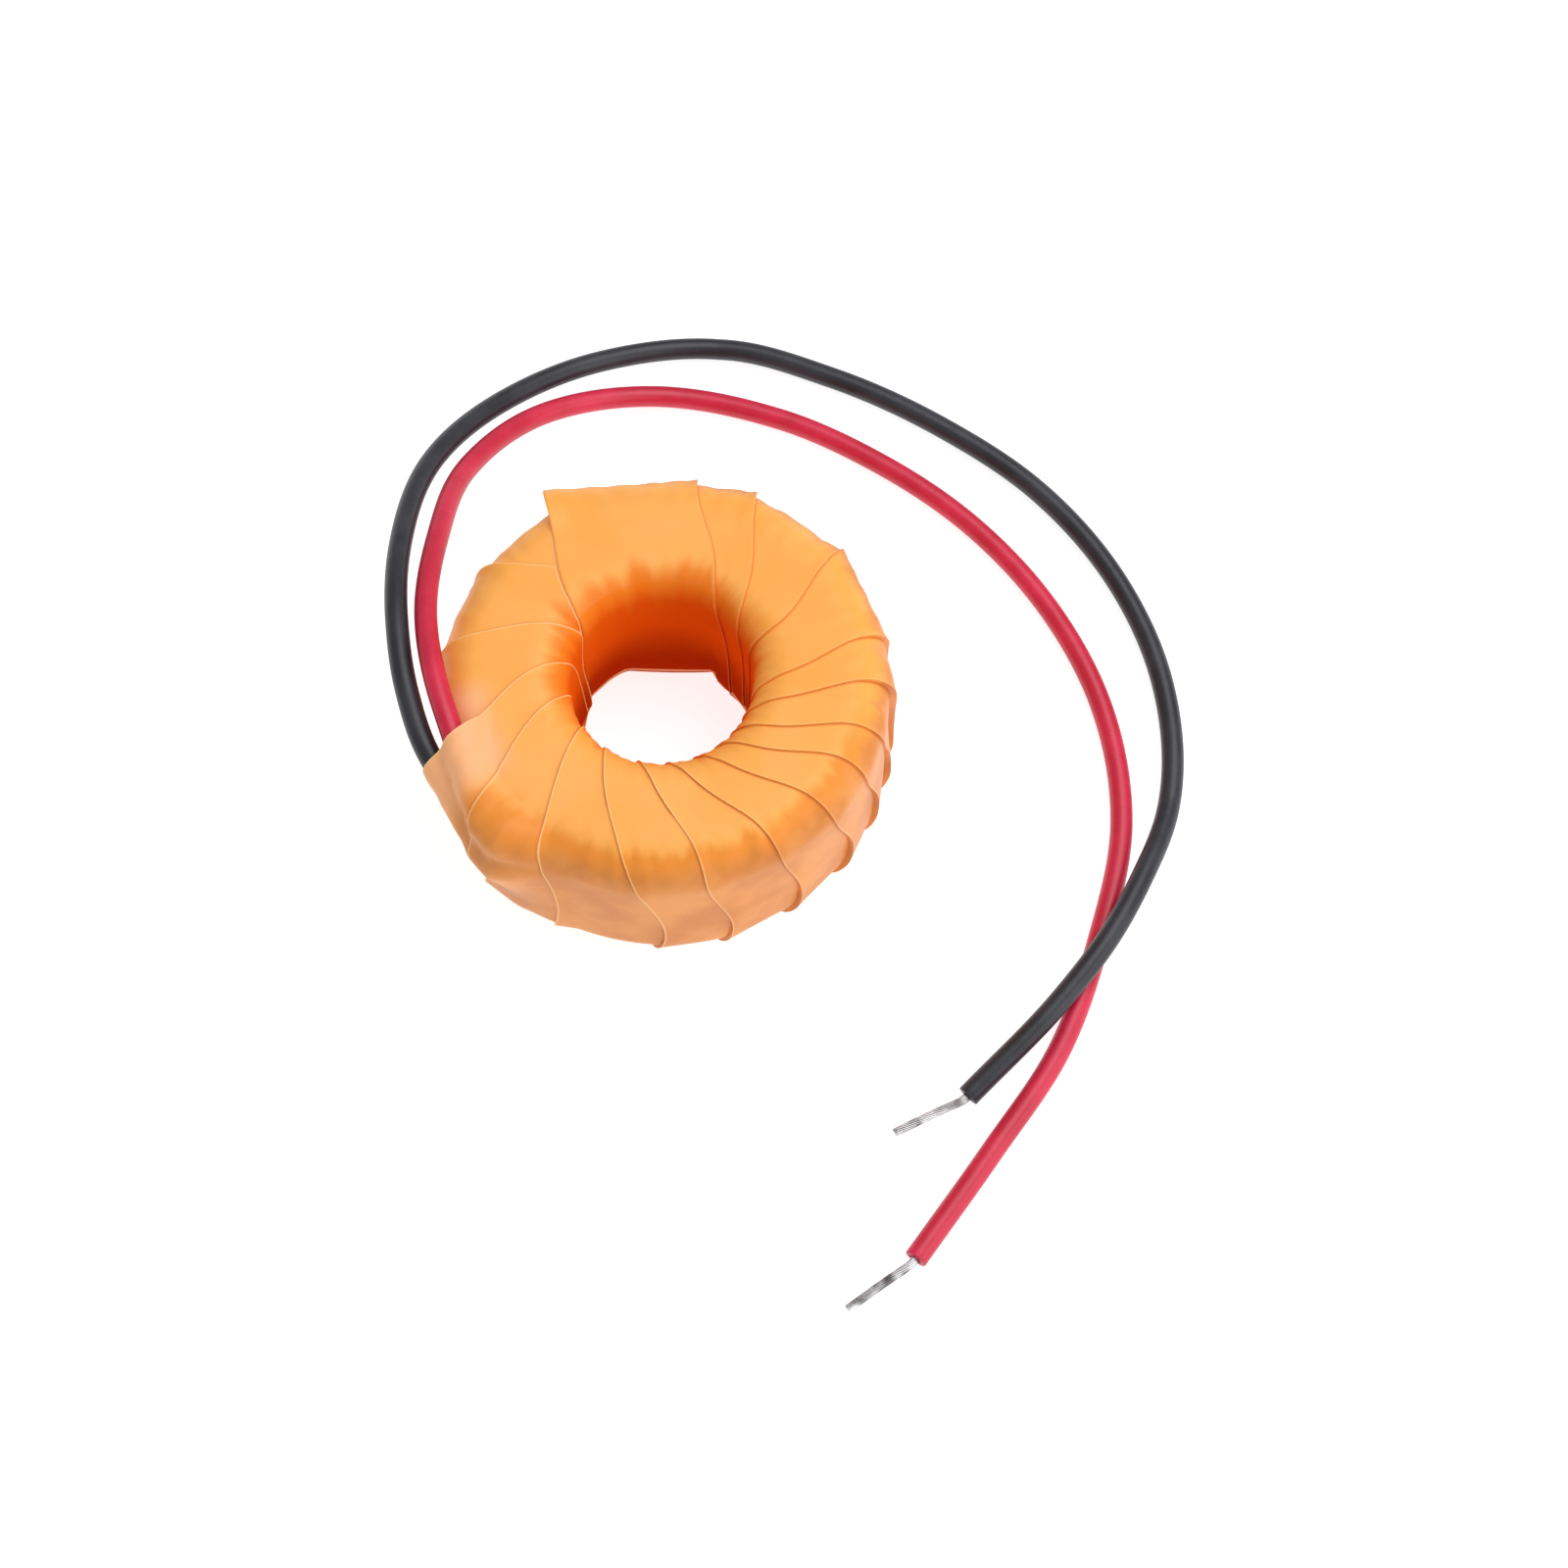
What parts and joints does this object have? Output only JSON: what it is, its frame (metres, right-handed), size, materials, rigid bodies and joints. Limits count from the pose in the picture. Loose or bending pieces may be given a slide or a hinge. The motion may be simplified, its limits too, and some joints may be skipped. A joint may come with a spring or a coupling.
{
  "type": "toroidal current transformer",
  "caption": "Taped ring current transformer with an open window for a conductor and a red and a black stranded lead with bare tinned ends.",
  "frame": {"origin": "centre of the window at the ring's mid-height", "axes": "+Z along the window's axis, up from the face that the ring lies on; the leads leave the ring on the -X side and their bare ends lie towards -Y"},
  "size_m": [0.0565, 0.0757, 0.0161],
  "materials": {
    "core_steel": "wound strip steel, dull edges",
    "core_wrap": "plain insulating wrap",
    "enamelled_copper": "enamelled copper wire",
    "inner_tape": "thin film tape",
    "orange_tape": "soft gloss film tape wound in laps",
    "red_insulation": "satin insulation",
    "black_insulation": "satin insulation",
    "tinned_copper": "twisted tinned strands",
    "solder": "dull solder",
    "sleeve": "plain sleeve"
  },
  "bodies": {
    "root": {"core": "core_steel", "core_wrap": "core_wrap", "winding": "enamelled_copper", "inner_tape": "inner_tape", "outer_tape": "orange_tape", "red_lead": "red_insulation", "red_tip": "tinned_copper", "red_inner_strand": "tinned_copper", "red_solder": "solder", "red_sleeve": "sleeve", "red_tail": "enamelled_copper", "black_lead": "black_insulation", "black_tip": "tinned_copper", "black_inner_strand": "tinned_copper", "black_solder": "solder", "black_sleeve": "sleeve", "black_tail": "enamelled_copper"}
  },
  "joints": []
}
